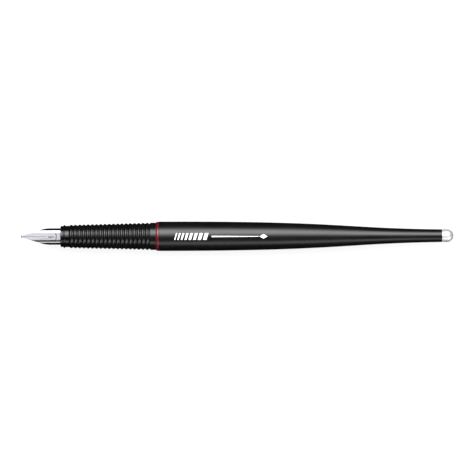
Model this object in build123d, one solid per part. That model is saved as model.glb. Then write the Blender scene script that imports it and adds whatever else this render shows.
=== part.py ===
"""A long-tailed cartridge art pen with its piston converter fitted.

The pen lies along X with the nib towards -X and the nib's upper face towards +Z. The origin is on the
pen's axis, in the middle of the smooth land behind the grip where a cap seats. Millimetres.
"""

import math
import os

from build123d import *

# ---- driving dimensions ----------------------------------------------------------------------------

# Stations along the pen's axis
NIB_TIP = -49.6
COLLAR_FRONT = -34.66
GRIP_FRONT = -31.35
LAND_HALF = 1.03
RING_WIDTH = 1.16
BARREL_END = 108.0
TAIL_END = 112.4

# Running gap between pieces that slide or turn on each other, and the smaller one inside the nib unit
RUNNING = 0.05
SNUG = 0.03

# Grip: turned ribs on a shallow cone
RIB_COUNT = 19
RIB_PITCH = 1.58
FIRST_RIB = -30.73
RIB_HEIGHT = 0.37
CREST_SHARE = 0.64
CREST_R_FRONT = 4.37
CREST_R_REAR = 5.08
LAND_R = 5.10

# Grip tenon that the barrel screws on to
TENON_END = 9.2
TENON_ROOT_R = 4.26
THREAD_CREST_R = 4.52
THREAD_PITCH = 1.25
THREAD_TURNS = 4
SECTION_BORE_R = 3.75

# Nib housing: the glossy collar in front of the grip, its shank and the piercing spigot
SHANK_R = 3.55
SHANK_END = -19.0
COLLAR_RIM_R = 3.94
COLLAR_BEAD_R = 4.32
COLLAR_BEAD_X = -33.27
COLLAR_LAND_R = 4.00
UNIT_BORE_R = 2.95
POCKET_DEPTH = 1.6
WEB_FRONT = -21.0
SPIGOT_END = -14.4
SPIGOT_R = 1.40
SPIGOT_BORE_R = 0.62

# Nib: 0.30 mm sheet pressed into an arch with a nearly flat crown
SHEET = 0.30
NIB_HALF_WIDTH = 3.08
NIB_TOP = 2.25
CROWN_R = 36.0
CROWN_HALF = 1.30
SHOULDER_R = (NIB_HALF_WIDTH - CROWN_HALF) / (1 - CROWN_HALF / CROWN_R)
WING_DROP = 0.55
NIB_STRAIGHT_FROM = -40.0
NIB_DROOP_R = 62.0
SLIT_WIDTH = 0.10
SLIT_END = -40.4
TAIL_HALF_WIDTH = 2.05
NIB_TAIL = -25.2
PELLET_WIDTH = 0.92
PELLET_LENGTH = 0.78
PELLET_HEIGHT = 0.62

# Feed
FEED_R = 2.86
FEED_FRONT = -44.4
FEED_REAR = -21.4
FIN_PITCH = 0.62
FIN_SLOT = 0.24
FIN_DEPTH = 1.15
OPEN_FINS = 8
HOUSED_FINS = 12
INK_CHANNEL = 0.34
PIN_FRONT = -23.6
PIN_END = -14.9
PIN_R = 0.55
PIN_GROOVE = 0.22

# Barrel: a short cylinder, then one long S-shaped taper to the tail
BARREL_R = 5.50
BARREL_LAND_END = 7.0
TAIL_R = 2.39
TAPER_HANDLE_FRONT = 63.0
TAPER_HANDLE_REAR = 37.0
TAIL_SLOPE = 0.0127
BARREL_WALL = 0.92
SOCKET_R = 4.60
SOCKET_DEPTH = 8.4
CAVITY_END = 88.0
PLUG_BORE_R = 1.25
PLUG_DEPTH = 6.5

# Trim ring
RING_FRONT_R = 5.22
RING_REAR_R = 5.47
SKIRT_R = 4.86
SKIRT_LENGTH = 1.0

# Piston converter
RESERVOIR_FRONT = -18.6
RESERVOIR_END = 22.0
RESERVOIR_R = 3.45
RESERVOIR_BORE_R = 2.78
PLUG_END = -14.2
MOUTH_BORE_R = 1.44
BAND_FRONT = 14.6
BAND_END = 24.4
BAND_WALL = 0.16
BAND_LIP_R = 2.90
GUIDE_LENGTH = 4.2
BALL_R = 1.55
SPINDLE_FLANGE = (22.25, 23.45)
SPINDLE_NECK_R = 2.82
SPINDLE_R = 2.45
SPINDLE_BORE_R = 1.88
SPINDLE_END = 47.2
KNOB_FRONT = 24.75
KNOB_END = 50.0
KNOB_R = 3.30
KNOB_LIP = 0.8
KNOB_FLUTES = 20
PISTON_FRONT = 9.0
PISTON_LENGTH = 4.4
PISTON_LAND_R = 2.45
PISTON_HUB_R = 1.75
SEAL_WIDTH = 1.1
SEAL_MARGIN = 0.5
ROD_R = 1.55
ROD_CORE_R = 1.15
ROD_FLAT = 1.22
ROD_END = 46.8
ROD_LEAD = 4.0


# ---- helpers ---------------------------------------------------------------------------------------


def turned(*edges):
    """The solid made by turning a closed profile of edges, drawn as (x along the pen, radius)."""
    return revolve(make_face(Curve() + list(edges)), Axis.X)


def turned_points(*points):
    """A turned solid whose profile is a closed polygon."""
    return turned(Polyline(*points, close=True))


def rod_between(x0, x1, radius):
    """A plain cylinder on the pen's axis."""
    return Plane.YZ.offset(x0) * extrude(Circle(radius), x1 - x0)


def tube_between(x0, x1, outer, inner):
    return rod_between(x0, x1, outer) - rod_between(x0, x1, inner)


def slab(x0, x1, half=30.0):
    """Everything between two stations."""
    return Pos((x0 + x1) / 2, 0, 0) * Box(x1 - x0, 2 * half, 2 * half)


def thread(x0, turns, pitch, root, crest):
    """A raised helical ridge about the axis, sunk a little into its core."""
    sunk = 0.08
    flank = (crest - root) * 0.45
    path = Helix(pitch, turns * pitch, root, direction=(1, 0, 0), center=(x0, 0, 0))
    start = path @ 0
    out = Vector(0, start.Y, start.Z).normalized()
    frame = Plane(origin=start, x_dir=out, z_dir=path % 0)
    half_crest = pitch * 0.13
    half_root = half_crest + flank
    ridge = Polygon(
        (-sunk, -half_root),
        (crest - root, -half_crest),
        (crest - root, half_crest),
        (-sunk, half_root),
        align=None,
    )
    return sweep(frame * ridge, path=path, is_frenet=True)


# ---- nib unit --------------------------------------------------------------------------------------


def arch_edges(inset):
    """The nib's arch seen along the axis, as edges in the YZ plane from wing to wing, moved inwards."""
    lean = math.asin(CROWN_HALF / CROWN_R)
    crown = CROWN_R - inset
    shoulder = SHOULDER_R - inset
    crown_centre = NIB_TOP - CROWN_R
    side = NIB_HALF_WIDTH - SHOULDER_R
    rise = crown_centre + (CROWN_R - SHOULDER_R) * math.cos(lean)
    join = (crown * math.sin(lean), crown_centre + crown * math.cos(lean))
    bulge = math.radians(90) - (math.radians(90) - lean) / 2
    middle = (side + shoulder * math.sin(bulge), rise + shoulder * math.cos(bulge))
    edge = (side + shoulder, rise)
    foot = (edge[0], -WING_DROP)
    return [
        Line((-foot[0], foot[1]), (-edge[0], edge[1])),
        ThreePointArc((-edge[0], edge[1]), (-middle[0], middle[1]), (-join[0], join[1])),
        ThreePointArc((-join[0], join[1]), (0, crown_centre + crown), join),
        ThreePointArc(join, middle, edge),
        Line(edge, foot),
    ]


def arch_band(outer_inset, inner_inset):
    """The strip between two insets of the arch: the section of the pressed sheet."""
    outer, inner = arch_edges(outer_inset), arch_edges(inner_inset)
    left = Line(outer[0] @ 0, inner[0] @ 0)
    right = Line(outer[-1] @ 1, inner[-1] @ 1)
    return make_face(Curve() + outer + inner + [left, right])


def arch_area(inset, floor):
    """The whole area under the arch, down to a level floor."""
    outer = arch_edges(inset)
    left, right = outer[0] @ 0, outer[-1] @ 1
    base = Polyline((left.X, left.Y), (left.X, floor), (right.X, floor), (right.X, right.Y))
    return make_face(Curve() + outer + [base])


def along_nib(section, x_from, x_to):
    """Carries a YZ section along the nib's line: straight, then bent gently down to the tip."""
    straight = Plane.YZ.offset(NIB_STRAIGHT_FROM) * extrude(section, x_to - NIB_STRAIGHT_FROM)
    if x_from >= NIB_STRAIGHT_FROM:
        return straight & slab(x_from, x_to)
    pivot = Axis((NIB_STRAIGHT_FROM, 0, -NIB_DROOP_R), (0, -1, 0))
    sweep_angle = math.degrees((NIB_STRAIGHT_FROM - x_from + 1.0) / NIB_DROOP_R)
    droop = revolve(Plane.YZ.offset(NIB_STRAIGHT_FROM) * section, pivot, sweep_angle)
    return (straight + droop) & slab(x_from, x_to)


def droop_at(x):
    """How far the nib's line has come down at a station."""
    run = max(0.0, NIB_STRAIGHT_FROM - x)
    return NIB_DROOP_R - math.sqrt(NIB_DROOP_R**2 - run**2)


def nib_plan():
    """The nib from above: pointed tines, full shoulders, then the narrow tail inside the housing."""
    point_half = 0.30
    shoulder_x = NIB_TIP + 11.4
    flank = (NIB_TIP + 6.9, 2.33)
    tine_root = (NIB_TIP + 0.45, point_half)
    wing_end = COLLAR_FRONT + POCKET_DEPTH - RUNNING
    upper = [
        Line((NIB_TIP + 0.45, 0), tine_root),
        Line(tine_root, flank),
        Bezier(
            flank,
            (NIB_TIP + 8.7, 2.93),
            (NIB_TIP + 9.9, NIB_HALF_WIDTH),
            (shoulder_x, NIB_HALF_WIDTH),
        ),
        Line((shoulder_x, NIB_HALF_WIDTH), (wing_end, NIB_HALF_WIDTH + SNUG)),
        Line((wing_end, NIB_HALF_WIDTH + SNUG), (wing_end, TAIL_HALF_WIDTH)),
        Line((wing_end, TAIL_HALF_WIDTH), (NIB_TAIL, TAIL_HALF_WIDTH)),
        Line((NIB_TAIL, TAIL_HALF_WIDTH), (NIB_TAIL, 0)),
    ]
    half = make_face(Curve() + upper + [Line((NIB_TAIL, 0), (NIB_TIP + 0.45, 0))])
    return half + mirror(half, Plane.XZ)


def slit_cutter():
    """The capillary slit, from beyond the tip to a small round end."""
    start = NIB_TIP - 1.0
    length = SLIT_END - start
    cut = Pos(start + length / 2, 0, 0) * Box(length, SLIT_WIDTH, 12)
    return cut + Pos(SLIT_END, 0, 0) * Cylinder(SLIT_WIDTH * 1.1, 12)


def make_nib():
    sheet = along_nib(arch_band(0, SHEET), NIB_TIP - 0.5, NIB_TAIL)
    blank = extrude(nib_plan(), 6, both=True)
    heart = Pos(NIB_TAIL - 0.6, 0, 0) * Cylinder(0.9, 12)
    return (sheet & blank) - slit_cutter() - heart


def make_tipping():
    """The hard pellet welded under the tip, split by the slit into two halves."""
    middle = NIB_TOP - SHEET - droop_at(NIB_TIP) + 0.16
    ball = Pos(NIB_TIP + PELLET_LENGTH / 2, 0, middle) * scale(
        Sphere(0.5), by=(PELLET_LENGTH, PELLET_WIDTH, PELLET_HEIGHT)
    )
    return ball - slit_cutter() - along_nib(arch_area(0, -1), NIB_TIP + 0.45, NIB_TAIL)


def make_feed():
    """A plastic bar under the nib with an ink channel on top and capillary fins below."""
    body = rod_between(FEED_FRONT, FEED_REAR, FEED_R)
    body &= along_nib(arch_area(SHEET + SNUG, -4.5), FEED_FRONT - 0.5, FEED_REAR)

    # Seen from the side, the keel rises to meet the nib behind its tip
    front_low, rear_low = (FEED_FRONT, 1.15), (COLLAR_FRONT, -FEED_R)
    keel = Bezier(front_low, (FEED_FRONT + 1.6, -0.2), (FEED_FRONT + 4.2, -2.3), rear_low)
    above = Polyline(rear_low, (FEED_REAR, -FEED_R), (FEED_REAR, 4), (FEED_FRONT, 4), front_low)
    side_view = make_face(Curve() + [keel, above])
    body &= extrude(Plane.XZ * side_view, 6, both=True)

    # Seen from above, the nose is a blunt point
    nose_tip, nose_full = (FEED_FRONT, 0.42), (COLLAR_FRONT - 1.2, FEED_R)
    nose = Bezier(nose_tip, (FEED_FRONT + 1.2, 1.5), (FEED_FRONT + 3.4, FEED_R), nose_full)
    behind = Polyline(nose_full, (FEED_REAR, FEED_R), (FEED_REAR, 0), (FEED_FRONT, 0), nose_tip)
    half_plan = make_face(Curve() + [nose, behind])
    body &= extrude(half_plan + mirror(half_plan, Plane.XZ), 6, both=True)

    # Fins in the open, then a comb inside the housing
    slot = Box(FIN_SLOT, 8, FIN_DEPTH * 2)
    starts = [(FEED_FRONT + 3.6, OPEN_FINS), (COLLAR_FRONT + 3.2, HOUSED_FINS)]
    for start, count in starts:
        for i in range(count):
            body -= Pos(start + i * FIN_PITCH, 0, -FEED_R) * slot
    length = FEED_REAR - FEED_FRONT + 1
    channel = Pos((FEED_FRONT + FEED_REAR) / 2, 0, NIB_TOP) * Box(length, INK_CHANNEL, 2.4)
    body -= channel
    return body - rod_between(PIN_FRONT, FEED_REAR + 1, PIN_R)


def make_capillary_pin():
    """The thin pin in the feed's rear end that draws ink out of the spigot, with a groove along it."""
    pin = rod_between(PIN_FRONT, PIN_END, PIN_R)
    groove = Pos((PIN_FRONT + PIN_END) / 2, 0, PIN_R) * Box(PIN_END - PIN_FRONT + 1, PIN_GROOVE, PIN_R)
    return pin - groove


# ---- section ---------------------------------------------------------------------------------------


def unit_bore(radius, x0, x1):
    """The hole that holds nib and feed: the nib's arch above, a round floor below."""
    section = arch_area(-SNUG, -4.5) & Circle(radius)
    return Plane.YZ.offset(x0) * extrude(section, x1 - x0)


def make_nib_housing():
    bead = COLLAR_BEAD_R - COLLAR_LAND_R
    rim_end = COLLAR_BEAD_X - 0.55
    body = turned(
        Polyline(
            (COLLAR_FRONT, 0),
            (COLLAR_FRONT, COLLAR_RIM_R - 0.12),
            (COLLAR_FRONT + 0.12, COLLAR_RIM_R),
            (rim_end, COLLAR_RIM_R),
            (rim_end + 0.08, COLLAR_RIM_R - 0.1),
            (COLLAR_BEAD_X - 0.32, COLLAR_RIM_R - 0.1),
        ),
        ThreePointArc(
            (COLLAR_BEAD_X - 0.32, COLLAR_RIM_R - 0.1),
            (COLLAR_BEAD_X, COLLAR_LAND_R + bead),
            (COLLAR_BEAD_X + 0.3, COLLAR_LAND_R),
        ),
        Polyline(
            (COLLAR_BEAD_X + 0.3, COLLAR_LAND_R),
            (GRIP_FRONT - 0.14, COLLAR_LAND_R),
            (GRIP_FRONT, COLLAR_LAND_R - 0.14),
            (GRIP_FRONT, SHANK_R),
            (SHANK_END - 0.3, SHANK_R),
            (SHANK_END, SHANK_R - 0.3),
            (SHANK_END, SPIGOT_R),
            (SPIGOT_END - 0.9, SPIGOT_R),
            (SPIGOT_END, SPIGOT_R - 0.35),
            (SPIGOT_END, 0),
            (COLLAR_FRONT, 0),
        ),
    )
    pocket = unit_bore(NIB_HALF_WIDTH + SNUG * 2, COLLAR_FRONT - 1, COLLAR_FRONT + POCKET_DEPTH)
    body -= pocket
    body -= unit_bore(UNIT_BORE_R, COLLAR_FRONT, WEB_FRONT)
    return body - rod_between(WEB_FRONT - 1, SPIGOT_END + 1, SPIGOT_BORE_R)


def rib_crest(x):
    """Crest radius of the ribbed cone at a station."""
    last_rib = FIRST_RIB + (RIB_COUNT - 1) * RIB_PITCH
    return CREST_R_FRONT + (CREST_R_REAR - CREST_R_FRONT) * (x - FIRST_RIB) / (last_rib - FIRST_RIB)


def grip_outline():
    """The grip's outer profile: broad round crests, tighter round valleys, then the smooth cap land."""
    crest_half = CREST_SHARE * RIB_PITCH / 2

    def flank(x):
        return (x, rib_crest(x) - CREST_SHARE * RIB_HEIGHT)

    edges = [Line((GRIP_FRONT, rib_crest(GRIP_FRONT) - RIB_HEIGHT), flank(FIRST_RIB - crest_half))]
    for i in range(RIB_COUNT):
        crest = FIRST_RIB + i * RIB_PITCH
        start, end = crest - crest_half, crest + crest_half
        valley, rise = crest + RIB_PITCH / 2, start + RIB_PITCH
        edges.append(ThreePointArc(flank(start), (crest, rib_crest(crest)), flank(end)))
        edges.append(ThreePointArc(flank(end), (valley, rib_crest(valley) - RIB_HEIGHT), flank(rise)))
    edges.append(Line(edges[-1] @ 1, (-LAND_HALF, LAND_R)))
    edges.append(Line((-LAND_HALF, LAND_R), (LAND_HALF, LAND_R)))
    return edges


def make_grip_section():
    front = (GRIP_FRONT, rib_crest(GRIP_FRONT) - RIB_HEIGHT)
    body = turned(
        *grip_outline(),
        Polyline(
            (LAND_HALF, LAND_R),
            (LAND_HALF, TENON_ROOT_R),
            (TENON_END - 0.3, TENON_ROOT_R),
            (TENON_END, TENON_ROOT_R - 0.3),
            (TENON_END, SECTION_BORE_R),
            (SHANK_END, SECTION_BORE_R),
            (SHANK_END, SHANK_R),
            (GRIP_FRONT, SHANK_R),
            front,
        ),
    )
    ridge_start = TENON_END - 0.9 - THREAD_TURNS * THREAD_PITCH
    return body + thread(ridge_start, THREAD_TURNS, THREAD_PITCH, TENON_ROOT_R, THREAD_CREST_R)


# ---- barrel ----------------------------------------------------------------------------------------


def make_trim_ring():
    front = LAND_HALF
    rear = front + RING_WIDTH
    return turned_points(
        (front, SOCKET_R),
        (front, RING_FRONT_R),
        (front + 0.45, RING_REAR_R - 0.04),
        (rear - 0.15, RING_REAR_R),
        (rear, RING_REAR_R - 0.1),
        (rear, SKIRT_R),
        (rear + SKIRT_LENGTH, SKIRT_R),
        (rear + SKIRT_LENGTH, SOCKET_R),
    )


def taper(wall):
    """The area inside the barrel's S-shaped taper, drawn in by a wall thickness."""
    front = (BARREL_LAND_END, BARREL_R - wall)
    rear = (BARREL_END, TAIL_R - wall)
    curve = Bezier(
        front,
        (BARREL_LAND_END + TAPER_HANDLE_FRONT, BARREL_R - wall),
        (BARREL_END - TAPER_HANDLE_REAR, TAIL_R - wall + TAIL_SLOPE * TAPER_HANDLE_REAR),
        rear,
    )
    frame = Polyline(rear, (BARREL_END, 0), (BARREL_LAND_END, 0), front)
    return revolve(make_face(Curve() + [curve, frame]), Axis.X)


def make_barrel():
    front = LAND_HALF + RING_WIDTH
    edge = 0.12
    neck = turned_points(
        (front, 0),
        (front, BARREL_R - edge),
        (front + edge, BARREL_R),
        (BARREL_LAND_END, BARREL_R),
        (BARREL_LAND_END, 0),
    )
    socket_end = front + SOCKET_DEPTH
    body = neck + taper(0)
    body -= taper(BARREL_WALL) & slab(socket_end - 1, CAVITY_END)
    body -= rod_between(front - 1, socket_end, SOCKET_R)
    body -= rod_between(front - 1, front + SKIRT_LENGTH + RUNNING, SKIRT_R + RUNNING)
    return body - rod_between(BARREL_END - PLUG_DEPTH, BARREL_END + 1, PLUG_BORE_R)


def make_tail_cap():
    dome = TAIL_END - BARREL_END - TAIL_R
    edge = 0.16
    return turned(
        Polyline(
            (BARREL_END - PLUG_DEPTH + 0.3, 0),
            (BARREL_END - PLUG_DEPTH + 0.3, PLUG_BORE_R - 0.3),
            (BARREL_END - PLUG_DEPTH + 0.8, PLUG_BORE_R),
            (BARREL_END, PLUG_BORE_R),
            (BARREL_END, TAIL_R - edge),
            (BARREL_END + edge, TAIL_R),
            (BARREL_END + dome, TAIL_R),
        ),
        RadiusArc((BARREL_END + dome, TAIL_R), (TAIL_END, 0), TAIL_R),
        Line((TAIL_END, 0), (BARREL_END - PLUG_DEPTH + 0.3, 0)),
    )


# ---- converter -------------------------------------------------------------------------------------


def make_reservoir():
    """The clear tube that holds the ink."""
    lead_in = 0.4
    return turned_points(
        (RESERVOIR_FRONT, RESERVOIR_BORE_R),
        (RESERVOIR_FRONT, RESERVOIR_R - lead_in),
        (RESERVOIR_FRONT + lead_in, RESERVOIR_R),
        (RESERVOIR_END, RESERVOIR_R),
        (RESERVOIR_END, RESERVOIR_BORE_R),
    )


def make_mouth_plug():
    """The seal in the reservoir's mouth that grips the housing's spigot."""
    return turned_points(
        (RESERVOIR_FRONT, MOUTH_BORE_R + 0.35),
        (RESERVOIR_FRONT, RESERVOIR_BORE_R),
        (PLUG_END, RESERVOIR_BORE_R),
        (PLUG_END, MOUTH_BORE_R),
        (RESERVOIR_FRONT + 0.5, MOUTH_BORE_R),
    )


def make_band():
    """The metal band that joins reservoir and knob; its rear lip keeps the knob in."""
    outer = RESERVOIR_R + BAND_WALL
    lip_front = SPINDLE_FLANGE[1] + RUNNING * 3
    return turned_points(
        (BAND_FRONT, RESERVOIR_R),
        (BAND_FRONT, outer - 0.08),
        (BAND_FRONT + 0.08, outer),
        (BAND_END - 0.25, outer),
        (BAND_END, outer - 0.25),
        (BAND_END, BAND_LIP_R),
        (lip_front, BAND_LIP_R),
        (lip_front, RESERVOIR_R),
    )


def make_guide():
    """The bush in the reservoir's rear end whose keyed hole stops the rod turning."""
    x0 = RESERVOIR_END - GUIDE_LENGTH
    keyhole = Circle(ROD_R + RUNNING * 1.4) & Rectangle(8, 2 * (ROD_FLAT + RUNNING))
    hole = Plane.YZ.offset(x0 - 1) * extrude(keyhole, GUIDE_LENGTH + 2)
    return rod_between(x0, RESERVOIR_END, RESERVOIR_BORE_R) - hole


def make_piston_rod():
    x0 = PISTON_FRONT + 1.6
    body = turned_points(
        (x0, 0),
        (x0, ROD_CORE_R),
        (ROD_END - 0.3, ROD_CORE_R),
        (ROD_END, ROD_CORE_R - 0.3),
        (ROD_END, 0),
    )
    start = x0 + 3.2
    turns = (ROD_END - 0.9 - start) / ROD_LEAD
    body += thread(start, turns, ROD_LEAD, ROD_CORE_R, ROD_R)
    for side in (1, -1):
        body -= Pos((x0 + ROD_END) / 2, 0, side * (ROD_FLAT + 1)) * Box(ROD_END - x0 + 2, 8, 2)
    return body


def seal_stations():
    """Where the piston's two seals start."""
    return [PISTON_FRONT + SEAL_MARGIN, PISTON_FRONT + PISTON_LENGTH - SEAL_MARGIN - SEAL_WIDTH]


def make_piston_head():
    """The piston's hard core, with grooves for two seals and a socket for the rod."""
    end = PISTON_FRONT + PISTON_LENGTH
    edge = 0.2
    body = turned_points(
        (PISTON_FRONT, 0),
        (PISTON_FRONT, PISTON_LAND_R - edge),
        (PISTON_FRONT + edge, PISTON_LAND_R),
        (end, PISTON_LAND_R),
        (end, 0),
    )
    for x in seal_stations():
        body -= tube_between(x, x + SEAL_WIDTH, PISTON_LAND_R + 1, PISTON_HUB_R)
    return body - rod_between(PISTON_FRONT + 1.6, end + 1, ROD_CORE_R)


def make_piston_seal(x):
    """A ring in one of the piston's grooves, with a lip at each edge that wipes the reservoir."""
    lip_r = RESERVOIR_BORE_R - SNUG
    lip = 0.25
    return turned_points(
        (x, PISTON_HUB_R),
        (x, lip_r),
        (x + lip, lip_r),
        (x + SEAL_WIDTH / 2, lip_r - 0.2),
        (x + SEAL_WIDTH - lip, lip_r),
        (x + SEAL_WIDTH, lip_r),
        (x + SEAL_WIDTH, PISTON_HUB_R),
    )


def make_agitator_ball():
    """The steel ball that keeps ink from clinging in the reservoir, resting at its mouth."""
    return Pos(PLUG_END + BALL_R + RUNNING, 0, BALL_R + SNUG - RESERVOIR_BORE_R) * Sphere(BALL_R)


def make_knob_spindle():
    """The knob's core: a flange held by the band, a neck through its lip and a long screw socket."""
    x0, x1 = SPINDLE_FLANGE
    flange_r = RESERVOIR_R - RUNNING * 2
    return turned_points(
        (x0, SPINDLE_BORE_R),
        (x0, flange_r),
        (x1, flange_r),
        (x1, SPINDLE_NECK_R),
        (KNOB_FRONT, SPINDLE_NECK_R),
        (KNOB_FRONT, SPINDLE_R),
        (SPINDLE_END, SPINDLE_R),
        (SPINDLE_END, SPINDLE_BORE_R),
    )


def make_twist_knob():
    """The fluted sleeve that is turned by hand."""
    edge = 0.2
    end = KNOB_END - KNOB_LIP
    body = turned_points(
        (KNOB_FRONT, SPINDLE_R),
        (KNOB_FRONT, KNOB_R - edge),
        (KNOB_FRONT + edge, KNOB_R),
        (end - edge, KNOB_R),
        (end, KNOB_R - edge),
        (end, SPINDLE_R),
    )
    margin = 2.5
    flute = Plane.YZ.offset(KNOB_FRONT + margin) * extrude(
        Pos(KNOB_R + 0.1, 0) * Circle(0.28), end - KNOB_FRONT - 2 * margin
    )
    for i in range(KNOB_FLUTES):
        body -= Rot(360 / KNOB_FLUTES * i, 0, 0) * flute
    return body


def make_knob_end_plug():
    """The domed plug pressed into the sleeve's rear end."""
    rim = KNOB_END - KNOB_LIP
    rim_r = KNOB_R - 0.35
    dome = 0.6
    dome_r = (rim_r**2 + dome**2) / (2 * dome)
    shoulder = (KNOB_END - dome, rim_r)
    return turned(
        Polyline((SPINDLE_END, 0), (SPINDLE_END, SPINDLE_R), (rim, SPINDLE_R), (rim, rim_r), shoulder),
        RadiusArc(shoulder, (KNOB_END, 0), dome_r),
        Line((KNOB_END, 0), (SPINDLE_END, 0)),
    )


# ---- write -----------------------------------------------------------------------------------------

PIECES = {
    "nib": make_nib,
    "nib_tipping": make_tipping,
    "feed": make_feed,
    "capillary_pin": make_capillary_pin,
    "nib_housing": make_nib_housing,
    "grip_section": make_grip_section,
    "trim_ring": make_trim_ring,
    "barrel": make_barrel,
    "tail_cap": make_tail_cap,
    "converter_reservoir": make_reservoir,
    "converter_mouth_plug": make_mouth_plug,
    "converter_band": make_band,
    "converter_guide": make_guide,
    "piston_rod": make_piston_rod,
    "piston_head": make_piston_head,
    "piston_seal_front": lambda: make_piston_seal(seal_stations()[0]),
    "piston_seal_rear": lambda: make_piston_seal(seal_stations()[1]),
    "agitator_ball": make_agitator_ball,
    "knob_spindle": make_knob_spindle,
    "twist_knob": make_twist_knob,
    "knob_end_plug": make_knob_end_plug,
}

os.makedirs("parts", exist_ok=True)
for name, make in PIECES.items():
    export_step(make(), f"parts/{name}.step")
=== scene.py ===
"""Looks for the long-tailed cartridge pen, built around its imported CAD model.

Blender works in metres. Lengths below are in millimetres until a mesh is made, which multiplies
them by MM. The pen lies along X with its nib towards -X and the nib's upper face towards +Z.
"""

import math

import bpy
from mathutils import Matrix, Vector


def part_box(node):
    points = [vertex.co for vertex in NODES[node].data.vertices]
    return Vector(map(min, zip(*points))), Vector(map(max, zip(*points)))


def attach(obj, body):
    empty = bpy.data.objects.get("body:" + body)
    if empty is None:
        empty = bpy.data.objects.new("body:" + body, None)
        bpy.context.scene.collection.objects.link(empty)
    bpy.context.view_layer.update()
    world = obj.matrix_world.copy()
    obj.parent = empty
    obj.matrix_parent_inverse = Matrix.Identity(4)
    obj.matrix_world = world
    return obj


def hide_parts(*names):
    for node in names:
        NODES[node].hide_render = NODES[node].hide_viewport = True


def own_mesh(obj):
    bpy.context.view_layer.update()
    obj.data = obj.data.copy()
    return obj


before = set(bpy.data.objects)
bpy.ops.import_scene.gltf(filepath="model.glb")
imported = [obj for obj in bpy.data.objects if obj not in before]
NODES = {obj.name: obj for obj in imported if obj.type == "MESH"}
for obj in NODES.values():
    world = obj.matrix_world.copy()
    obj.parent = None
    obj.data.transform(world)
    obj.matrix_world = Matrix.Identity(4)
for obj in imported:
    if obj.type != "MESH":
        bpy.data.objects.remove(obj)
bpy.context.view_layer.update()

MM = 0.001


def node_box(name):
    """A CAD node's lowest and highest corners, in millimetres."""
    low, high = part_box(name)
    return low / MM, high / MM


# ---- sizes, read from the nodes or chosen to match the CAD model --------------------------------

BARREL_FRONT = node_box("barrel")[0].x
BARREL_END = node_box("barrel")[1].x
BARREL_R = node_box("barrel")[1].y
BARREL_LAND_END = 7.0
TAIL_R = node_box("tail_cap")[1].y
TAIL_END = node_box("tail_cap")[1].x
TAPER_HANDLE_FRONT = 63.0
TAPER_HANDLE_REAR = 37.0
TAIL_SLOPE = 0.0127
BARREL_WALL = 0.92
SOCKET_R = 4.60
SOCKET_DEPTH = 8.4
CAVITY_END = 88.0
PLUG_BORE_R = 1.25
PLUG_DEPTH = 6.5
PLUG_START = 0.3
PLUG_R = PLUG_BORE_R - 0.02
DRAIN_R = 0.4
SKIRT_R = 4.86
SKIRT_LENGTH = 1.0
RUNNING = 0.05

RING_FRONT = node_box("trim_ring")[0].x
RING_FRONT_R = 5.22
RING_REAR_R = node_box("trim_ring")[1].y

THREAD_PITCH = 1.25
THREAD_DEPTH = 0.22
THREAD_INSET = 0.7
THREAD_FADE = 0.6

NIB_ROOT = node_box("nib")[0].x
NIB_TIP = node_box("nib_tipping")[0].x
NIB_TAIL = node_box("nib")[1].x
SHEET = 0.30
NIB_HALF_WIDTH = node_box("nib")[1].y
NIB_TOP = node_box("nib")[1].z
# Flatter than the CAD model's 36.0, so that the nib's upper face reflects evenly
CROWN_R = 90.0
CROWN_HALF = 1.30
CROWN_LEAN = math.asin(CROWN_HALF / CROWN_R)
SHOULDER_R = (NIB_HALF_WIDTH - CROWN_HALF) / (1 - CROWN_HALF / CROWN_R)
SHOULDER_Z = NIB_TOP - CROWN_R + (CROWN_R - SHOULDER_R) * math.cos(CROWN_LEAN)
WING_DROP = 0.55
WING_FROM = NIB_TIP + 11.0
WING_BLEND = 2.2
NIB_STRAIGHT_FROM = -40.0
NIB_DROOP_R = 62.0
SLIT_HALF = 0.05
SLIT_END = -40.4
SLIT_BLEND = 0.25
ROOT_HALF_WIDTH = 0.30
FLANK = (NIB_TIP + 6.9, 2.33)
FLANK_HANDLE = (NIB_TIP + 8.7, 2.93)
WIDEST_HANDLE = (NIB_TIP + 9.9, NIB_HALF_WIDTH)
WIDEST = (NIB_TIP + 11.4, NIB_HALF_WIDTH)
TAIL_HALF_WIDTH = 2.05
NOTCH_R = 0.9
NOTCH_INSET = 0.6
NOTCH_REACH = 3.0
WING_END = node_box("nib_housing")[0].x + 1.55

MOUTH_PLUG_END = node_box("converter_mouth_plug")[1].x
PISTON_FRONT = node_box("piston_head")[0].x
INK_R = 2.74

# A point nearer the axis than this counts as on it
ON_AXIS = 1e-6

# ---- view: what the camera sees, and the point the lights face ----------------------------------

PEN_MIDDLE = 31.33
FRAME_WIDTH = 177.5
CAMERA_Y = -0.33
# In metres
CAMERA_HEIGHT = 1.1
# In degrees
CAMERA_ROLL = -0.13
SENSOR = 36.0


# ---- mesh helpers -------------------------------------------------------------------------------


def mesh_object(name, vertices, faces, normals=None):
    """A smooth-shaded mesh from points in millimetres."""
    mesh = bpy.data.meshes.new(name)
    mesh.from_pydata([Vector(v) * MM for v in vertices], [], faces)
    mesh.validate()
    mesh.polygons.foreach_set("use_smooth", [True] * len(mesh.polygons))
    if normals:
        mesh.normals_split_custom_set_from_vertices(normals)
    mesh.update()
    obj = bpy.data.objects.new(name, mesh)
    bpy.context.scene.collection.objects.link(obj)
    return obj


def arc_points(centre, radius, start, end, steps):
    """Points on an arc in the (x, r) plane, angles in degrees from +x towards +r."""
    angles = [math.radians(start + (end - start) * i / steps) for i in range(steps + 1)]
    return [(centre[0] + radius * math.cos(a), centre[1] + radius * math.sin(a)) for a in angles]


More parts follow.
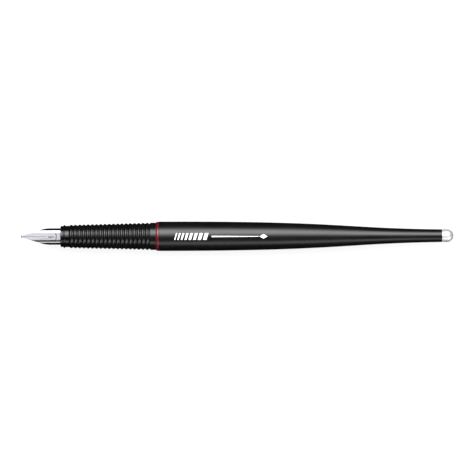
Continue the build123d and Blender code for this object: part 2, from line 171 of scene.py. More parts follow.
def bezier(p0, p1, p2, p3, steps):
    """Points on a cubic Bezier curve."""
    points = []
    for i in range(steps + 1):
        t = i / steps
        weights = ((1 - t) ** 3, 3 * t * (1 - t) ** 2, 3 * t * t * (1 - t), t**3)
        pairs = list(zip(weights, (p0, p1, p2, p3)))
        points.append(tuple(sum(w * p[k] for w, p in pairs) for k in (0, 1)))
    return points


def straight(start, end, steps):
    """Evenly spaced points on a line, with both its ends."""
    dx, dr = end[0] - start[0], end[1] - start[1]
    return [(start[0] + dx * i / steps, start[1] + dr * i / steps) for i in range(steps + 1)]


def round_corners(corners, steps=5):
    """Points of a profile of corners (x, r, radius), each rounded by a curve close to that arc."""
    points = []
    for i, (x, r, radius) in enumerate(corners):
        here = Vector((x, r))
        if radius <= 0:
            points.append((x, r))
            continue
        back = Vector(corners[i - 1][:2]) - here
        ahead = Vector(corners[(i + 1) % len(corners)][:2]) - here
        half_turn = back.angle(ahead) / 2
        reach = min(radius / math.tan(half_turn), 0.49 * back.length, 0.49 * ahead.length)
        start = here + back.normalized() * reach
        end = here + ahead.normalized() * reach
        for k in range(steps + 1):
            t = k / steps
            point = start * (1 - t) ** 2 + here * 2 * t * (1 - t) + end * t * t
            points.append((point.x, max(point.y, 0.0)))
    return points


def without_repeats(points):
    """A closed outline's points, less any that fall on the one before."""
    kept = []
    for p in points:
        if not kept or math.dist(p, kept[-1]) > 1e-5:
            kept.append(p)
    return kept[:-1] if math.dist(kept[0], kept[-1]) < 1e-5 else kept


def turned(name, outline, sides=160, thread=None):
    """A solid turned about the pen's axis from a closed (x, r) outline.

    thread, a function of (x, r, angle), gives a change of radius, for a helical groove or ridge.
    """
    points = without_repeats(outline)
    count = len(points)
    area = 0.0
    for (x0, r0), (x1, r1) in zip([points[-1]] + points, points):
        area += x0 * r1 - x1 * r0
    if area < 0:
        points.reverse()
    on_axis = [i for i in range(count) if points[i][1] < ON_AXIS]
    solid_core = len(on_axis) >= 2
    if solid_core:
        # Starting at the axis point with the greater x leaves out the run back along the axis
        start = max(on_axis, key=lambda i: points[i][0])
        points = points[start:] + points[:start]

    def outward(i):
        """The profile's normal at a point, its two sides weighted by their lengths."""
        total = Vector((0, 0))
        for a, b in ((i - 1, i), (i, (i + 1) % count)):
            if solid_core and points[a][1] < ON_AXIS and points[b][1] < ON_AXIS:
                continue
            dx, dr = points[b][0] - points[a][0], points[b][1] - points[a][1]
            total += Vector((dr, -dx))
        return total.normalized()

    vertices, normals, rows = [], [], []
    for i, (x, r) in enumerate(points):
        along, away = outward(i)
        if r < ON_AXIS:
            rows.append([len(vertices)] * sides)
            vertices.append((x, 0, 0))
            normals.append(Vector((1 if along > 0 else -1, 0, 0)))
            continue
        rows.append([len(vertices) + j for j in range(sides)])
        for j in range(sides):
            angle = 2 * math.pi * j / sides
            radius = r + (thread(x, r, angle) if thread else 0.0)
            vertices.append((x, radius * math.cos(angle), radius * math.sin(angle)))
            up = Vector((0, math.cos(angle), math.sin(angle)))
            normals.append(Vector((along, 0, 0)) + away * up)
            if thread and abs(away) > 0.99:
                step = 0.01
                rise_x = (thread(x + step, r, angle) - thread(x - step, r, angle)) / (2 * step)
                rise_a = (thread(x, r, angle + step) - thread(x, r, angle - step)) / (2 * step * r)
                round_about = Vector((0, -math.sin(angle), math.cos(angle)))
                leaning = up - Vector((rise_x, 0, 0)) - rise_a * round_about
                normals[-1] = away * leaning.normalized()
    faces = []
    for i in range(count - 1 if solid_core else count):
        a, b = rows[i], rows[(i + 1) % count]
        for j in range(sides):
            k = (j + 1) % sides
            corners = [a[j], b[j], b[k], a[k]]
            unique = [c for n, c in enumerate(corners) if c != corners[n - 1]]
            if len(unique) > 2:
                faces.append(unique)
    return mesh_object(name, vertices, faces, normals)


# ---- materials ----------------------------------------------------------------------------------


class Surface:
    """A Principled material with small helpers for its procedural detail."""

    def __init__(self, name, colour, roughness, metallic=0.0, **shader):
        self.material = bpy.data.materials.new(name)
        self.material.use_nodes = True
        self.tree = self.material.node_tree
        self.shader = self.tree.nodes["Principled BSDF"]
        self.shader.inputs["Base Color"].default_value = (*colour, 1)
        self.shader.inputs["Roughness"].default_value = roughness
        self.shader.inputs["Metallic"].default_value = metallic
        for socket, value in shader.items():
            self.shader.inputs[socket.replace("_", " ")].default_value = value
        self.colour = colour
        self.roughness = roughness
        self.height = None

    def node(self, kind, **inputs):
        node = self.tree.nodes.new(kind)
        for name, value in inputs.items():
            self.feed(value, node.inputs[name.replace("_", " ")])
        return node

    def feed(self, value, socket):
        if isinstance(value, bpy.types.NodeSocket):
            self.tree.links.new(value, socket)
        else:
            socket.default_value = value

    def noise(self, size, stretch=(1, 1, 1), detail=3.0, offset=(0, 0, 0)):
        """Noise with features about size millimetres across, longer along a stretched axis."""
        coordinates = self.node("ShaderNodeTexCoord").outputs["Object"]
        scale = [1 / s for s in stretch]
        placed = self.node("ShaderNodeMapping", Vector=coordinates, Scale=scale, Location=offset)
        texture = self.node("ShaderNodeTexNoise", Vector=placed.outputs["Vector"], Detail=detail)
        texture.inputs["Scale"].default_value = 1 / (size * MM)
        return texture.outputs["Fac"]

    def spread(self, source, low, high, near=0.35, far=0.65):
        """Maps a texture's middle range on to low and high."""
        mapped = self.node("ShaderNodeMapRange", Value=source)
        ends = {"From Min": near, "From Max": far, "To Min": low, "To Max": high}
        for name, value in ends.items():
            mapped.inputs[name].default_value = value
        return mapped.outputs["Result"]

    def vary_roughness(self, source, swing):
        varied = self.spread(source, self.roughness - swing, self.roughness + swing)
        self.feed(varied, self.shader.inputs["Roughness"])
        return self

    def vary_colour(self, source, other):
        # Inputs 6 and 7 and output 2 of a Mix node are its colour sockets
        mix = self.node("ShaderNodeMix")
        mix.data_type = "RGBA"
        self.feed(self.spread(source, 0, 1), mix.inputs["Factor"])
        mix.inputs[6].default_value = (*self.colour, 1)
        mix.inputs[7].default_value = (*other, 1)
        self.feed(mix.outputs[2], self.shader.inputs["Base Color"])
        return self

    def emboss(self, source, depth):
        """Adds relief of a depth in millimetres on top of any relief already there."""
        bump = self.node("ShaderNodeBump", Height=source)
        bump.inputs["Strength"].default_value = 1.0
        bump.inputs["Distance"].default_value = depth * MM
        if self.height:
            self.feed(self.height, bump.inputs["Normal"])
        self.height = bump.outputs["Normal"]
        self.feed(self.height, self.shader.inputs["Normal"])
        return self


def scratches(surface, size, length, depth, axis=0, offset=(0, 0, 0)):
    """Fine lines along an axis, as from handling or brushing."""
    stretch = [1, 1, 1]
    stretch[axis] = length
    lines = surface.noise(size, stretch, detail=2.0, offset=offset)
    return surface.emboss(surface.spread(lines, 0, 1, near=0.45, far=0.75), depth)


def barrel_plastic():
    s = Surface("barrel_plastic", (0.0022, 0.0022, 0.0024), 0.30, Specular_IOR_Level=0.55)
    s.vary_roughness(s.noise(3.0, stretch=(5, 1, 1)), 0.025)
    s.vary_colour(s.noise(1.4), (0.0034, 0.0034, 0.0037))
    s.emboss(s.noise(0.9), 0.0012)
    return scratches(s, 0.11, 60, 0.0006).material


def grip_plastic():
    s = Surface("grip_plastic", (0.0026, 0.0026, 0.0028), 0.22, Specular_IOR_Level=0.5)
    s.vary_roughness(s.noise(0.8), 0.035)
    s.vary_colour(s.noise(2.2), (0.0040, 0.0040, 0.0043))
    return s.emboss(s.noise(0.09, detail=4.0), 0.0012).material


def housing_plastic():
    s = Surface("housing_plastic", (0.0020, 0.0020, 0.0022), 0.15, Specular_IOR_Level=0.55)
    s.vary_roughness(s.noise(1.1), 0.03)
    s.vary_colour(s.noise(1.0), (0.0032, 0.0032, 0.0034))
    return scratches(s, 0.10, 18, 0.0006, axis=1).material


def ring_lacquer():
    s = Surface("ring_lacquer", (0.090, 0.0036, 0.010), 0.26, Coat_Weight=0.25, Coat_Roughness=0.12)
    s.vary_roughness(s.noise(0.5), 0.04)
    s.vary_colour(s.noise(0.7), (0.070, 0.0030, 0.008))
    return s.emboss(s.noise(0.35), 0.0008).material


def nib_steel():
    s = Surface("nib_steel", (0.53, 0.52, 0.555), 0.19, metallic=1.0)
    s.vary_roughness(s.noise(0.5, stretch=(8, 1, 1)), 0.05)
    s.vary_colour(s.noise(0.9, stretch=(4, 1, 1)), (0.49, 0.48, 0.525))
    scratches(s, 0.035, 40, 0.0012)
    return scratches(s, 0.10, 14, 0.0008, offset=(0.3, 0.1, 0)).material


def pellet_metal():
    s = Surface("pellet_metal", (0.13, 0.125, 0.13), 0.30, metallic=1.0)
    s.vary_roughness(s.noise(0.12), 0.05)
    s.vary_colour(s.noise(0.2), (0.10, 0.095, 0.10))
    return s.emboss(s.noise(0.06), 0.0010).material


def nib_mark_ink():
    s = Surface("nib_mark", (0.16, 0.15, 0.18), 0.45, metallic=0.7)
    s.vary_roughness(s.noise(0.2), 0.08)
    s.vary_colour(s.noise(0.15), (0.10, 0.09, 0.12))
    return s.emboss(s.noise(0.05), 0.0010).material


def feed_plastic():
    s = Surface("feed_plastic", (0.0060, 0.0060, 0.0064), 0.50)
    s.vary_roughness(s.noise(0.6), 0.06)
    s.vary_colour(s.noise(1.1), (0.0095, 0.0095, 0.0100))
    return s.emboss(s.noise(0.07, detail=5.0), 0.0022).material


def tail_metal():
    s = Surface("tail_metal", (0.82, 0.82, 0.82), 0.42, metallic=0.75)
    s.vary_roughness(s.noise(0.4), 0.05)
    s.vary_colour(s.noise(0.8), (0.76, 0.76, 0.76))
    return scratches(s, 0.05, 14, 0.0010, axis=1).material


def print_white():
    s = Surface("print_white", (0.82, 0.82, 0.82), 0.45)
    s.vary_roughness(s.noise(0.4), 0.06)
    s.vary_colour(s.noise(0.3), (0.74, 0.74, 0.74))
    return s.emboss(s.noise(0.12), 0.0015).material


def clear_plastic():
    s = Surface("clear_plastic", (0.94, 0.96, 0.97), 0.06, Transmission_Weight=0.96, IOR=1.49)
    s.vary_roughness(s.noise(1.6), 0.03)
    s.vary_colour(s.noise(3.0), (0.90, 0.93, 0.95))
    return scratches(s, 0.10, 40, 0.0005).material


def band_metal():
    s = Surface("band_metal", (0.72, 0.72, 0.74), 0.20, metallic=1.0)
    s.vary_roughness(s.noise(0.6), 0.05)
    s.vary_colour(s.noise(1.0), (0.66, 0.66, 0.68))
    return scratches(s, 0.06, 25, 0.0010, axis=1).material


def ball_steel():
    s = Surface("ball_steel", (0.62, 0.62, 0.64), 0.14, metallic=1.0)
    s.vary_roughness(s.noise(0.3), 0.04)
    s.vary_colour(s.noise(0.6), (0.55, 0.55, 0.57))
    return s.emboss(s.noise(0.1), 0.0008).material


def plug_plastic():
    s = Surface("plug_plastic", (0.028, 0.028, 0.030), 0.42)
    s.vary_roughness(s.noise(0.6), 0.06)
    s.vary_colour(s.noise(0.9), (0.040, 0.040, 0.043))
    return s.emboss(s.noise(0.10), 0.0015).material


def rod_plastic():
    s = Surface("rod_plastic", (0.34, 0.34, 0.35), 0.38)
    s.vary_roughness(s.noise(0.5), 0.06)
    s.vary_colour(s.noise(0.8), (0.28, 0.28, 0.29))
    return s.emboss(s.noise(0.09), 0.0015).material


def seal_rubber():
    s = Surface("seal_rubber", (0.012, 0.012, 0.012), 0.62)
    s.vary_roughness(s.noise(0.3), 0.08)
    s.vary_colour(s.noise(0.4), (0.020, 0.020, 0.020))
    return s.emboss(s.noise(0.06), 0.0020).material


def knob_plastic():
    s = Surface("knob_plastic", (0.0050, 0.0050, 0.0054), 0.38)
    s.vary_roughness(s.noise(0.7), 0.05)
    s.vary_colour(s.noise(1.2), (0.0085, 0.0085, 0.0090))
    return s.emboss(s.noise(0.08, detail=4.0), 0.0014).material


def ink_liquid():
    s = Surface("ink_liquid", (0.004, 0.006, 0.022), 0.08)
    s.vary_roughness(s.noise(2.0), 0.02)
    s.vary_colour(s.noise(2.5), (0.003, 0.004, 0.016))
    return s.emboss(s.noise(1.2), 0.0010).material


def floor_look():
    s = Surface("light_table", (0.20, 0.20, 0.20), 0.85, Specular_IOR_Level=0.1)
    s.shader.inputs["Emission Color"].default_value = (1, 1, 1, 1)
    s.shader.inputs["Emission Strength"].default_value = 0.78
    s.vary_roughness(s.noise(6.0), 0.05)
    s.vary_colour(s.noise(40.0), (0.19, 0.19, 0.19))
    return s.emboss(s.noise(0.6), 0.004).material


def dress(obj, material):
    """Gives an object one material."""
    obj.data.materials.clear()
    obj.data.materials.append(material)
    return obj


# ---- barrel, ring and tail ----------------------------------------------------------------------


def taper_points(wall, steps=120):
    """The barrel's S-shaped taper, drawn in by a wall thickness, from front to rear."""
    return bezier(
        (BARREL_LAND_END, BARREL_R - wall),
        (BARREL_LAND_END + TAPER_HANDLE_FRONT, BARREL_R - wall),
        (BARREL_END - TAPER_HANDLE_REAR, TAIL_R - wall + TAIL_SLOPE * TAPER_HANDLE_REAR),
        (BARREL_END, TAIL_R - wall),
        steps,
    )


def taper_radius(x):
    """The barrel's outer radius at a station."""
    if x <= BARREL_LAND_END:
        return BARREL_R
    points = taper_points(0, 400)
    for (x0, r0), (x1, r1) in zip(points, points[1:]):
        if x0 <= x <= x1:
            return r0 + (r1 - r0) * (x - x0) / (x1 - x0)
    return TAIL_R


def make_barrel():
    """The shell, with a counterbore for the ring's skirt, a threaded socket and a tail bore."""
    socket_end = BARREL_FRONT + SOCKET_DEPTH
    skirt_end = BARREL_FRONT + SKIRT_LENGTH + RUNNING
    thread_front, thread_rear = skirt_end + THREAD_INSET, socket_end - THREAD_INSET
    plug_end = BARREL_END - PLUG_DEPTH
    inside = [p for p in taper_points(BARREL_WALL) if socket_end < p[0] < CAVITY_END]
    outline = (
        [(BARREL_FRONT, SKIRT_R + RUNNING)]
        + outside_edge()
        + taper_points(0)[:-1]
        + tail_edge()
        + [(plug_end, PLUG_BORE_R), (plug_end, DRAIN_R), (CAVITY_END, DRAIN_R)]
        + inside[::-1]
        + [(socket_end, inside[0][1]), (socket_end, SOCKET_R)]
        + straight((thread_rear, SOCKET_R), (thread_front, SOCKET_R), 112)
        + [(skirt_end, SOCKET_R), (skirt_end, SKIRT_R + RUNNING)]
    )

    def groove(x, r, angle):
        if abs(r - SOCKET_R) > 1e-4 or not thread_front < x < thread_rear:
            return 0.0
        from_end = min(x - thread_front, thread_rear - x)
        return THREAD_DEPTH * min(1.0, from_end / THREAD_FADE) * thread_wave(x, angle)

    return turned("barrel_shell", outline, thread=groove)


def outside_edge(edge=0.13, steps=6):
    """The rounded front edge of the barrel, up on to its land."""
    centre = (BARREL_FRONT + edge, BARREL_R - edge)
    return arc_points(centre, edge, 180, 90, steps) + [(BARREL_FRONT + 1.0, BARREL_R)]


def tail_edge(edge=0.06, steps=4):
    """The barrel's rear end, from its outside round into the bore for the tail cap."""
    centre = (BARREL_END - edge, TAIL_R - edge)
    return arc_points(centre, edge, 90, 0, steps) + [(BARREL_END, PLUG_BORE_R)]


def thread_wave(x, angle):
    """0 to 1 across one turn of a right-hand thread, with flat crests and roots."""
    phase = (x / THREAD_PITCH - angle / (2 * math.pi)) % 1.0
    return max(0.0, min(1.0, 1.5 - abs(phase - 0.5) * 5.5))


def make_trim_ring():
    """The ring, with the skirt behind it that goes into the barrel."""
    rear = BARREL_FRONT
    corners = [
        (RING_FRONT, SOCKET_R, 0.05),
        (RING_FRONT, RING_FRONT_R, 0.12),
        (RING_FRONT + 0.45, RING_REAR_R - 0.04, 0.5),
        (rear, RING_REAR_R, 0.12),
        (rear, SKIRT_R, 0.04),
        (rear + SKIRT_LENGTH, SKIRT_R, 0.08),
        (rear + SKIRT_LENGTH, SOCKET_R, 0.05),
    ]
    return turned("crimson_ring", round_corners(corners))


def make_tail_cap():
    """The pressed-in end: a plug, a rounded front edge, a shallow groove behind it, then a dome."""
    start = BARREL_END - PLUG_DEPTH + PLUG_START
    dome_centre = TAIL_END - TAIL_R
    groove = BARREL_END + 0.55
    body = round_corners(
        [
            (start, 0, 0),
            (start, PLUG_R, 0.4),
            (BARREL_END, PLUG_R, 0.0),
            (BARREL_END, TAIL_R - 0.02, 0.14),
            (groove - 0.07, TAIL_R, 0.03),
            (groove, TAIL_R - 0.07, 0.03),
            (groove + 0.07, TAIL_R, 0.03),
            (dome_centre, TAIL_R, 0.0),
        ]
    )
    dome = arc_points((dome_centre, 0), TAIL_R, 88, 0, 28)
    dome[-1] = (TAIL_END, 0)
    return turned("silver_end", body + dome, sides=128)


# ---- nib ----------------------------------------------------------------------------------------

CROWN_LENGTH = CROWN_R * CROWN_LEAN
SHOULDER_LENGTH = SHOULDER_R * (math.pi / 2 - CROWN_LEAN)


def arch_point(s):
    """(y, z) at a distance s from the middle, along the sheet's outer face across the nib."""
    if s <= CROWN_LENGTH:
        a = s / CROWN_R
        return CROWN_R * math.sin(a), NIB_TOP - CROWN_R + CROWN_R * math.cos(a)
    side = NIB_HALF_WIDTH - SHOULDER_R
    if s <= CROWN_LENGTH + SHOULDER_LENGTH:
        a = CROWN_LEAN + (s - CROWN_LENGTH) / SHOULDER_R
        return side + SHOULDER_R * math.sin(a), SHOULDER_Z + SHOULDER_R * math.cos(a)
    return NIB_HALF_WIDTH, SHOULDER_Z - (s - CROWN_LENGTH - SHOULDER_LENGTH)


def arch_length(y):
    """The distance along the sheet at which it is y from the middle."""
    if y <= CROWN_R * math.sin(CROWN_LEAN):
        return CROWN_R * math.asin(y / CROWN_R)
    side = NIB_HALF_WIDTH - SHOULDER_R
    lean = math.asin(min(1.0, (y - side) / SHOULDER_R))
    return CROWN_LENGTH + SHOULDER_R * (lean - CROWN_LEAN)


def smoothstep(t):
    """0 to 1 as t goes from 0 to 1, level at both ends."""
    t = max(0.0, min(1.0, t))
    return t * t * (3 - 2 * t)


def nib_outline():
    """(x, half width) from the point to the widest part, then what goes into the housing."""
    tine = straight((NIB_ROOT, ROOT_HALF_WIDTH), FLANK, 26)
    curve = bezier(FLANK, FLANK_HANDLE, WIDEST_HANDLE, WIDEST, 22)
    sides = straight(WIDEST, (WING_END, NIB_HALF_WIDTH), 20)
    step_back = 0.05
    tail = straight(
        (WING_END + step_back, TAIL_HALF_WIDTH), (NIB_TAIL + step_back, TAIL_HALF_WIDTH), 18
    )
    return tine[:-1] + curve + sides[1:] + tail


def carried(x, y, z):
    """A point of the straight arch carried on to the nib's own drooping line."""
    run = NIB_STRAIGHT_FROM - x
    if run <= 0:
        return x, y, z
    turn = run / NIB_DROOP_R
    reach = NIB_DROOP_R + z
    along = reach * math.sin(turn) * NIB_DROOP_R / (NIB_DROOP_R + NIB_TOP)
    return NIB_STRAIGHT_FROM - along, y, reach * math.cos(turn) - NIB_DROOP_R


def make_nib():
    """Two halves of pressed sheet that meet behind the slit, thickened and given soft edges."""
    columns, edge_column, edge_softening = 30, 0.09, 0.03
    outline = nib_outline()
    vertices, faces = [], []
    for side in (1, -1):
        base = len(vertices)
        for x, half_width in outline:
            slit = SLIT_HALF * smoothstep((SLIT_END - x) / SLIT_BLEND)
            inner = arch_length(slit)
            outer = arch_length(half_width)
            if half_width == NIB_HALF_WIDTH:
                outer += (SHOULDER_Z + WING_DROP) * smoothstep((x - WING_FROM) / WING_BLEND)
            # The outermost columns are wide enough for the bevel that softens the sheet's edges
            margin = min(edge_column, 0.3 * (outer - inner))
            span = outer - inner - 2 * margin
            stations = [inner + margin + span * c / (columns - 2) for c in range(columns - 1)]
            for s in [inner, *stations, outer]:
                y, z = arch_point(s)
                end_x = x
                past = x - NIB_TAIL + NOTCH_REACH
                if past > 0 and y < NOTCH_R:
                    # The tail ends in a round notch
                    cut = math.sqrt(NOTCH_R**2 - y * y) + NOTCH_INSET
                    end_x = x - cut * past / NOTCH_REACH
                vertices.append(carried(end_x, side * y, z))
        for i in range(len(outline) - 1):
            for c in range(columns):
                a = base + i * (columns + 1) + c
                quad = [a, a + 1, a + columns + 2, a + columns + 1]
                faces.append(quad if side < 0 else quad[::-1])
    nib = mesh_object("steel_nib", vertices, faces)
    weld = nib.modifiers.new("weld", "WELD")
    weld.merge_threshold = 0.004 * MM
    thicken = nib.modifiers.new("thicken", "SOLIDIFY")
    thicken.thickness = SHEET * MM
    thicken.offset = -1
    thicken.use_even_offset = True
    soften = nib.modifiers.new("soften", "BEVEL")
    soften.width = edge_softening * MM
    soften.segments = 3
    soften.limit_method = "ANGLE"
    soften.angle_limit = math.radians(50)
    soften.harden_normals = True
    soften.use_clamp_overlap = False
    return nib


# ---- print and marks ----------------------------------------------------------------------------


def patch(corners, place, columns, rows, lift, depth):
    """A thin raised quad between four (x, y) corners, laid on a surface by place(x, y, lift)."""
    vertices = []
    for level in (lift, lift - depth):
        for j in range(rows + 1):
            for i in range(columns + 1):
                u, v = i / columns, j / rows
                x, y = (
                    (1 - u) * (1 - v) * corners[0][k]
                    + u * (1 - v) * corners[1][k]
                    + u * v * corners[2][k]
                    + (1 - u) * v * corners[3][k]
                    for k in (0, 1)
                )
                vertices.append(place(x, y, level))
    per_row = columns + 1
    per_level = per_row * (rows + 1)
    faces = []
    for j in range(rows):
        for i in range(columns):
            a = j * per_row + i
            top = [a, a + 1, a + per_row + 1, a + per_row]
            faces.append(top)
            faces.append([t + per_level for t in top[::-1]])
    edge = list(range(columns))
    edge += [j * per_row + columns for j in range(rows)]
    edge += [rows * per_row + i for i in range(columns, 0, -1)]
    edge += [j * per_row for j in range(rows, 0, -1)]
    for a, b in zip(edge, edge[1:] + edge[:1]):
        faces.append([b, a, a + per_level, b + per_level])
    return vertices, faces


def joined(name, patches):
    """One object from several patches."""
    vertices, faces = [], []
    for points, quads in patches:
        base = len(vertices)
        vertices += points
        faces += [[base + i for i in quad] for quad in quads]
    obj = mesh_object(name, vertices, faces)
    obj.data.set_sharp_from_angle(angle=math.radians(40))
    return obj


def lozenge(x, y, reach, rise):
    """The corners of a lozenge about a point."""
    return [(x - reach, y), (x, y - rise), (x + reach, y), (x, y + rise)]


def on_barrel(x, y, lift):
    """A point above the barrel's upper side, lifted off its surface."""
    radius = taper_radius(x) + lift
    return x, y, math.sqrt(radius * radius - y * y)


def make_barrel_print():
    """A rank of leaning strokes that widen, then a fine rule with a lozenge at its end."""
    lift, depth = 0.014, 0.03
    middle, half_height, lean, gap = -0.1, 1.25, 0.75, 0.72
    low, high = middle - half_height, middle + half_height
    patches = []
    x = 7.9
    for i in range(8):
        width = 0.42 + 0.13 * i
        corners = [(x, low), (x + width, low), (x + width + lean, high), (x + lean, high)]
        patches.append(patch(corners, on_barrel, 3, 12, lift, depth))
        x += width + gap
    rule_start, rule_end, thick, thin = x + 1.2, 39.4, 0.24, 0.10
    corners = [
        (rule_start, middle - thick),
        (rule_end, middle - thin),
        (rule_end, middle + thin),
        (rule_start, middle + thick),
    ]
    patches.append(patch(corners, on_barrel, 80, 4, lift, depth))
    patches.append(patch(lozenge(41.2, middle, 1.5, 0.85), on_barrel, 10, 10, lift, depth))
    return joined("barrel_print", patches)


def on_nib(x, y, lift):
    """A point on the nib's upper face, lifted off it."""
    s = arch_length(abs(y))
    _, z = arch_point(s)
    lean = y / CROWN_R
    px, py, pz = carried(x, y, z)
    return px, py + lift * lean, pz + lift


def make_nib_marks():
    """Plain marks across the nib: a bowed bar, a row of lozenges and a rank of fine dots."""
    lift, depth = 0.006, 0.02
    bar_x, half_span, half_thick, bow = -36.45, 1.35, 0.19, 0.22
    steps = 10

    def bowed(y):
        return bar_x + bow * (1 - (y / half_span) ** 2)

    patches = []
    for i in range(steps):
        y0 = -half_span + 2 * half_span * i / steps
        y1 = -half_span + 2 * half_span * (i + 1) / steps
        corners = [
            (bowed(y0) - half_thick, y0),
            (bowed(y0) + half_thick, y0),
            (bowed(y1) + half_thick, y1),
            (bowed(y1) - half_thick, y1),
        ]
        patches.append(patch(corners, on_nib, 2, 2, lift, depth))
    lozenges = [(-38.9, -0.2, 0.42), (-38.1, -0.2, 0.42), (-37.4, -0.2, 0.30)]
    dots = [(-35.2, 0.55 * i, 0.14) for i in (-2, -1, 0, 1, 2)]
    for x, y, reach in lozenges + dots:
        patches.append(patch(lozenge(x, y, reach, reach), on_nib, 4, 4, lift, depth))
    return joined("nib_marks", patches)


def make_slit_shade_ink():
    """The film of ink that stands in the slit, just under the nib's face; its dark strip also
    paints the slit's shade as a dark line.
    """
    front, lift, depth = NIB_ROOT + 0.1, -0.05, 0.15
    corners = [
        (front, -SLIT_HALF),
        (SLIT_END, -SLIT_HALF),
        (SLIT_END, SLIT_HALF),
        (front, SLIT_HALF),
    ]
    return joined("slit_shade_ink", [patch(corners, on_nib, 40, 2, lift, depth)])


def make_ink():
    """The ink between the converter's mouth and its piston, with soft edges at the wall."""
    gap = 0.05
    front, rear = MOUTH_PLUG_END + gap, PISTON_FRONT - gap
    corners = [(front, 0, 0), (front, INK_R, 0.35), (rear, INK_R, 0.35), (rear, 0, 0)]
    return turned("ink", round_corners(corners, steps=8), sides=72)


# ---- put the pieces on their bodies -------------------------------------------------------------


def add(piece, body, material):
    """Finishes a piece that adds to the CAD nodes."""
    dress(piece, material)
    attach(piece, body)


def stand_for(piece, body, node, material):
    """Finishes a piece that replaces a CAD node."""
    add(piece, body, material)
    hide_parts(node)


barrel_black = barrel_plastic()
steel = nib_steel()
ink_look = ink_liquid()
stand_for(make_barrel(), "barrel", "barrel", barrel_black)
stand_for(make_tail_cap(), "barrel", "tail_cap", tail_metal())
stand_for(make_trim_ring(), "trim_ring", "trim_ring", ring_lacquer())
stand_for(make_nib(), "nib_unit", "nib", steel)
add(make_barrel_print(), "barrel", print_white())
add(make_nib_marks(), "nib_unit", nib_mark_ink())
# The dark strip in the slit is ink and also painted shade of the slit
add(make_slit_shade_ink(), "nib_unit", ink_look)

ink = make_ink()
add(ink, "converter", ink_look)
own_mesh(ink)

rod_grey = rod_plastic()
knob_black = knob_plastic()
plug_grey = plug_plastic()
rubber = seal_rubber()
feed_black = feed_plastic()
NODE_LOOKS = {
    "grip_section": grip_plastic(),
    "nib_housing": housing_plastic(),
    "nib_tipping": pellet_metal(),
    "feed": feed_black,
    "capillary_pin": feed_black,
    "converter_reservoir": clear_plastic(),
    "converter_mouth_plug": plug_grey,
    "converter_guide": plug_grey,
    "converter_band": band_metal(),
    "agitator_ball": ball_steel(),
    "piston_rod": rod_grey,
    "piston_head": rod_grey,
    "knob_spindle": rod_grey,
    "piston_seal_front": rubber,
    "piston_seal_rear": rubber,
    "twist_knob": knob_black,
    "knob_end_plug": knob_black,
}
# The nodes that a piece stands for have a material too, though they aren't seen
STOOD_FOR_LOOKS = {
    "barrel": barrel_black,
    "tail_cap": steel,
    "trim_ring": barrel_black,
    "nib": steel,
}
for name, look in {**NODE_LOOKS, **STOOD_FOR_LOOKS}.items():
    dress(NODES[name], look)


# ---- floor, light and camera --------------------------------------------------------------------


def make_floor():
    """A level, pale floor that just clears the barrel, so that a piece drawn off stays above it."""
    reach, clearance = 3000.0, 0.02
    height = -BARREL_R - clearance
    corners = [(-reach, -reach), (reach, -reach), (reach, reach), (-reach, reach)]
    floor = mesh_object("floor", [(x, y, height) for x, y in corners], [[0, 1, 2, 3]])
    dress(floor, floor_look())
    floor.visible_glossy = False


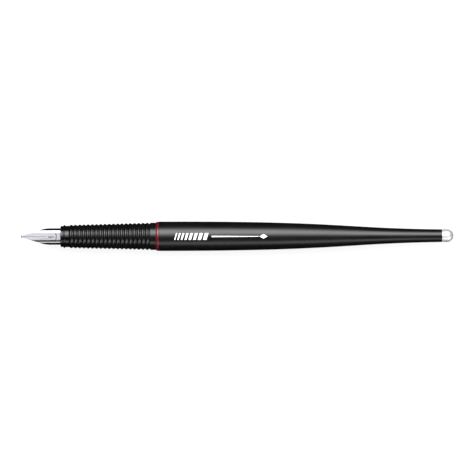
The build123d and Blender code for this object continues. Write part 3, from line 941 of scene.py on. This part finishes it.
def softbox(name, lean, tilt_x, distance, length, width, brightness, feather=(0.3, 0.35)):
    """An area light that faces the pen.

    lean is its direction from straight up towards +Y and tilt_x towards +X, in degrees. length runs
    along X and width across it, in metres. feather is the share of its half length and half width
    over which its face fades towards its edges.
    """
    watts_per_area = 4
    light = bpy.data.lights.new(name, "AREA")
    light.shape = "RECTANGLE"
    light.size = length
    light.size_y = width
    light.energy = watts_per_area * length * width * brightness
    light.use_nodes = True
    tree = light.node_tree

    def link(source, socket):
        if isinstance(source, bpy.types.NodeSocket):
            tree.links.new(source, socket)
        else:
            socket.default_value = source

    def calculated(operation, first, second=0.0):
        node = tree.nodes.new("ShaderNodeMath")
        node.operation = operation
        link(first, node.inputs[0])
        link(second, node.inputs[1])
        return node.outputs[0]

    where = tree.nodes.new("ShaderNodeNewGeometry")
    split = tree.nodes.new("ShaderNodeSeparateXYZ")
    link(where.outputs["Parametric"], split.inputs[0])
    fades = []
    for axis, share in zip(("X", "Y"), feather):
        # Distance from the middle, 0 to 0.5, with a smooth fall from 1 to 0 over the feather
        off_middle = calculated("ABSOLUTE", calculated("SUBTRACT", split.outputs[axis], 0.5))
        ramp = tree.nodes.new("ShaderNodeMapRange")
        ramp.interpolation_type = "SMOOTHSTEP"
        link(off_middle, ramp.inputs["Value"])
        ends = {"From Min": 0.5 * (1 - share), "From Max": 0.5, "To Min": 1.0, "To Max": 0.0}
        for socket, value in ends.items():
            link(value, ramp.inputs[socket])
        fades.append(ramp.outputs["Result"])
    link(calculated("MULTIPLY", *fades), tree.nodes["Emission"].inputs["Strength"])

    obj = bpy.data.objects.new(name, light)
    bpy.context.scene.collection.objects.link(obj)
    lean, tilt_x = math.radians(lean), math.radians(tilt_x)
    direction = Vector((math.tan(tilt_x), math.sin(lean), math.cos(lean))).normalized()
    along_pen = Vector((1, 0, 0))
    across = (along_pen - direction * along_pen.dot(direction)).normalized()
    up = direction.cross(across)
    turn = Matrix((across, up, direction)).transposed().to_4x4()
    place = Vector((PEN_MIDDLE * MM, 0, 0)) + direction * distance
    obj.matrix_world = Matrix.Translation(place) @ turn


make_floor()
softbox("main_softbox", 34.5, 0, 0.75, 1.15, 1.12, 5.5, feather=(0.3, 1.0))
softbox("low_strip", -57, 5, 0.75, 1.00, 0.40, 1.25, feather=(0.25, 0.4))
softbox("rear_panel", -52, 38, 0.9, 0.55, 0.42, 5.0, feather=(0.4, 0.4))
softbox("nib_card", -1, -26, 0.26, 0.14, 0.045, 1.2, feather=(0.08, 0.6))

world = bpy.data.worlds.new("studio")
world.use_nodes = True
background = world.node_tree.nodes["Background"]
background.inputs["Color"].default_value = (1.0, 1.0, 1.0, 1)
background.inputs["Strength"].default_value = 0.8
bpy.context.scene.world = world
world.cycles_visibility.glossy = False

camera_data = bpy.data.cameras.new("camera")
camera_data.sensor_width = SENSOR
camera_data.lens = SENSOR * CAMERA_HEIGHT / (FRAME_WIDTH * MM)
camera_data.clip_end = 20
camera = bpy.data.objects.new("camera", camera_data)
camera.location = (PEN_MIDDLE * MM, CAMERA_Y * MM, CAMERA_HEIGHT)
camera.rotation_euler = (0, 0, math.radians(CAMERA_ROLL))
bpy.context.scene.collection.objects.link(camera)
bpy.context.scene.camera = camera

bpy.context.scene.view_settings.view_transform = "Standard"
bpy.context.scene.view_settings.look = "None"
